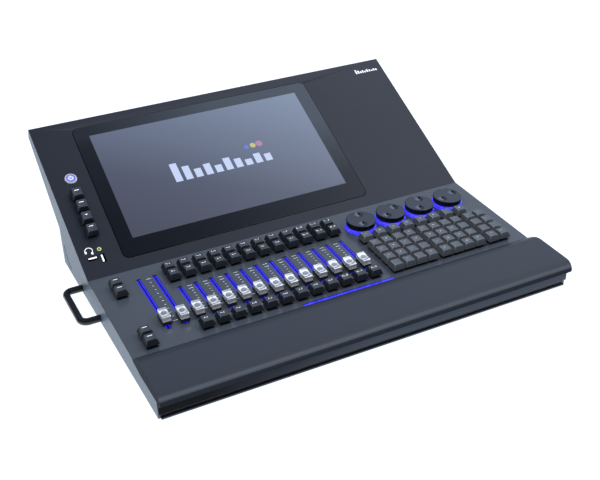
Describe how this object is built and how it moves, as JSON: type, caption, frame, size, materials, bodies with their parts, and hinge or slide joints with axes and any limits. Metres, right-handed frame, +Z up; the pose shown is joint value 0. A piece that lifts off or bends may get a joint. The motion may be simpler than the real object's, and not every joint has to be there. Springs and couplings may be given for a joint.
{
  "type": "lighting control desk",
  "caption": "Raked lighting desk with a touch screen, slide faders, encoder wheels and banks of square keys between side handles.",
  "frame": {"origin": "bottom centre of the bounding box, on the surface the feet stand on", "axes": "+X to the operator's right, +Y to the rear, +Z up"},
  "size_m": [0.6606, 0.5336, 0.1757],
  "materials": {
    "case_paint": "satin powder coat",
    "deck_paint": "satin powder coat",
    "side_paint": "satin powder coat",
    "palm_plastic": "satin",
    "front_gloss": "gloss",
    "screen_glass": "gloss",
    "display": "satin",
    "handle_black": "satin",
    "foot_rubber": "matte",
    "screws": "black oxide",
    "blue_light": "lit",
    "board": "solder mask",
    "black_plastic": "matte",
    "bare_metal": "mill",
    "encoder_metal": "plated",
    "knob_silver": "metallised",
    "wheel_grey": "satin",
    "key_black": "satin",
    "key_grey": "satin",
    "chrome": "polished",
    "button_lens": "lit",
    "jack_green": "satin"
  },
  "bodies": {
    "case": {"base_tray": "case_paint", "side_panel_left": "side_paint", "side_panel_right": "side_paint", "deck_plate": "deck_paint", "screen_panel": "case_paint", "rear_cover": "case_paint", "rear_wall": "case_paint", "palm_rest": "palm_plastic", "front_plate": "front_gloss", "touch_glass": "screen_glass", "display_module": "display", "handle_left": "handle_black", "handle_right": "handle_black", "feet": "foot_rubber", "case_screws": "screws", "light_bar": "blue_light", "fader_bodies": "bare_metal", "fader_light_guides": "blue_light", "encoder_bodies": "encoder_metal", "encoder_light_rings": "blue_light", "key_switches": "black_plastic", "control_board": "board", "main_board": "board", "power_supply": "bare_metal", "fan_frame": "black_plastic", "headphone_jack": "jack_green", "usb_sockets": "chrome", "power_button_ring": "chrome", "dmx_outputs": "black_plastic", "network_socket": "chrome", "power_inlet": "black_plastic"},
    "screen_keys": {"screen_keys": "key_black"},
    "left_keys": {"left_keys": "key_black"},
    "playback_keys_rear": {"playback_keys_rear": "key_black"},
    "playback_keys_middle": {"playback_keys_middle": "key_black"},
    "playback_keys_front": {"playback_keys_front": "key_black"},
    "function_keys": {"function_keys": "key_grey"},
    "pad_keys_left": {"pad_keys_left": "key_grey"},
    "pad_keys_centre": {"pad_keys_centre": "key_grey"},
    "pad_keys_right": {"pad_keys_right": "key_grey"},
    "long_fader_knob_1": {"long_fader_knob_1": "knob_silver"},
    "long_fader_knob_2": {"long_fader_knob_2": "knob_silver"},
    "short_fader_knob_1": {"short_fader_knob_1": "knob_silver"},
    "short_fader_knob_2": {"short_fader_knob_2": "knob_silver"},
    "short_fader_knob_3": {"short_fader_knob_3": "knob_silver"},
    "short_fader_knob_4": {"short_fader_knob_4": "knob_silver"},
    "short_fader_knob_5": {"short_fader_knob_5": "knob_silver"},
    "short_fader_knob_6": {"short_fader_knob_6": "knob_silver"},
    "short_fader_knob_7": {"short_fader_knob_7": "knob_silver"},
    "short_fader_knob_8": {"short_fader_knob_8": "knob_silver"},
    "short_fader_knob_9": {"short_fader_knob_9": "knob_silver"},
    "short_fader_knob_10": {"short_fader_knob_10": "knob_silver"},
    "short_fader_knob_11": {"short_fader_knob_11": "knob_silver"},
    "short_fader_knob_12": {"short_fader_knob_12": "knob_silver"},
    "encoder_wheel_1": {"encoder_wheel_1": "wheel_grey"},
    "encoder_wheel_2": {"encoder_wheel_2": "wheel_grey"},
    "encoder_wheel_3": {"encoder_wheel_3": "wheel_grey"},
    "encoder_wheel_4": {"encoder_wheel_4": "wheel_grey"},
    "power_button": {"power_button": "button_lens"},
    "fan_rotor": {"fan_rotor": "black_plastic"}
  },
  "joints": [
    {"name": "screen_keys_press", "type": "slide", "parent": "case", "child": "screen_keys", "axis": [0, 0.4594, -0.8882], "range_m": [0, 0.0034], "stiffness_N_per_m": 480, "springref_m": -0.002},
    {"name": "left_keys_press", "type": "slide", "parent": "case", "child": "left_keys", "axis": [0, 0.0523, -0.9986], "range_m": [0, 0.0034], "stiffness_N_per_m": 480, "springref_m": -0.002},
    {"name": "playback_keys_rear_press", "type": "slide", "parent": "case", "child": "playback_keys_rear", "axis": [0, 0.0523, -0.9986], "range_m": [0, 0.0034], "stiffness_N_per_m": 1440, "springref_m": -0.002},
    {"name": "playback_keys_middle_press", "type": "slide", "parent": "case", "child": "playback_keys_middle", "axis": [0, 0.0523, -0.9986], "range_m": [0, 0.0034], "stiffness_N_per_m": 1440, "springref_m": -0.002},
    {"name": "playback_keys_front_press", "type": "slide", "parent": "case", "child": "playback_keys_front", "axis": [0, 0.0523, -0.9986], "range_m": [0, 0.0034], "stiffness_N_per_m": 1440, "springref_m": -0.002},
    {"name": "function_keys_press", "type": "slide", "parent": "case", "child": "function_keys", "axis": [0, 0.0523, -0.9986], "range_m": [0, 0.0034], "stiffness_N_per_m": 960, "springref_m": -0.002},
    {"name": "pad_keys_left_press", "type": "slide", "parent": "case", "child": "pad_keys_left", "axis": [0, 0.0523, -0.9986], "range_m": [0, 0.0034], "stiffness_N_per_m": 1920, "springref_m": -0.002},
    {"name": "pad_keys_centre_press", "type": "slide", "parent": "case", "child": "pad_keys_centre", "axis": [0, 0.0523, -0.9986], "range_m": [0, 0.0034], "stiffness_N_per_m": 1920, "springref_m": -0.002},
    {"name": "pad_keys_right_press", "type": "slide", "parent": "case", "child": "pad_keys_right", "axis": [0, 0.0523, -0.9986], "range_m": [0, 0.0034], "stiffness_N_per_m": 960, "springref_m": -0.002},
    {"name": "long_fader_1_slide", "type": "slide", "parent": "case", "child": "long_fader_knob_1", "axis": [0, 0.9986, 0.0523], "range_m": [-0.005, 0.095]},
    {"name": "long_fader_2_slide", "type": "slide", "parent": "case", "child": "long_fader_knob_2", "axis": [0, 0.9986, 0.0523], "range_m": [-0.0005, 0.0995]},
    {"name": "short_fader_1_slide", "type": "slide", "parent": "case", "child": "short_fader_knob_1", "axis": [0, 0.9986, 0.0523], "range_m": [-0.0015, 0.0585]},
    {"name": "short_fader_2_slide", "type": "slide", "parent": "case", "child": "short_fader_knob_2", "axis": [0, 0.9986, 0.0523], "range_m": [-0.002, 0.058]},
    {"name": "short_fader_3_slide", "type": "slide", "parent": "case", "child": "short_fader_knob_3", "axis": [0, 0.9986, 0.0523], "range_m": [-0.004, 0.056]},
    {"name": "short_fader_4_slide", "type": "slide", "parent": "case", "child": "short_fader_knob_4", "axis": [0, 0.9986, 0.0523], "range_m": [-0.005, 0.055]},
    {"name": "short_fader_5_slide", "type": "slide", "parent": "case", "child": "short_fader_knob_5", "axis": [0, 0.9986, 0.0523], "range_m": [-0.004, 0.056]},
    {"name": "short_fader_6_slide", "type": "slide", "parent": "case", "child": "short_fader_knob_6", "axis": [0, 0.9986, 0.0523], "range_m": [-0.001, 0.059]},
    {"name": "short_fader_7_slide", "type": "slide", "parent": "case", "child": "short_fader_knob_7", "axis": [0, 0.9986, 0.0523], "range_m": [-0.0005, 0.0595]},
    {"name": "short_fader_8_slide", "type": "slide", "parent": "case", "child": "short_fader_knob_8", "axis": [0, 0.9986, 0.0523], "range_m": [-0.002, 0.058]},
    {"name": "short_fader_9_slide", "type": "slide", "parent": "case", "child": "short_fader_knob_9", "axis": [0, 0.9986, 0.0523], "range_m": [-0.0025, 0.0575]},
    {"name": "short_fader_10_slide", "type": "slide", "parent": "case", "child": "short_fader_knob_10", "axis": [0, 0.9986, 0.0523], "range_m": [-0.0025, 0.0575]},
    {"name": "short_fader_11_slide", "type": "slide", "parent": "case", "child": "short_fader_knob_11", "axis": [0, 0.9986, 0.0523], "range_m": [-0.0005, 0.0595]},
    {"name": "short_fader_12_slide", "type": "slide", "parent": "case", "child": "short_fader_knob_12", "axis": [0, 0.9986, 0.0523], "range_m": [-0.001, 0.059]},
    {"name": "encoder_1_turn", "type": "hinge", "parent": "case", "child": "encoder_wheel_1", "pos_m": [0.0989, -0.03582, 0.04522], "axis": [0, -0.0523, 0.9986], "continuous": true},
    {"name": "encoder_2_turn", "type": "hinge", "parent": "case", "child": "encoder_wheel_2", "pos_m": [0.1496, -0.03582, 0.04522], "axis": [0, -0.0523, 0.9986], "continuous": true},
    {"name": "encoder_3_turn", "type": "hinge", "parent": "case", "child": "encoder_wheel_3", "pos_m": [0.2003, -0.03582, 0.04522], "axis": [0, -0.0523, 0.9986], "continuous": true},
    {"name": "encoder_4_turn", "type": "hinge", "parent": "case", "child": "encoder_wheel_4", "pos_m": [0.251, -0.03582, 0.04522], "axis": [0, -0.0523, 0.9986], "continuous": true},
    {"name": "power_button_press", "type": "slide", "parent": "case", "child": "power_button", "axis": [0, 0.4594, -0.8882], "range_m": [0, 0.0015], "stiffness_N_per_m": 400, "springref_m": -0.002},
    {"name": "fan_turn", "type": "hinge", "parent": "case", "child": "fan_rotor", "pos_m": [0.06, 0.12816, 0.037], "axis": [0, 1, 0], "continuous": true}
  ]
}
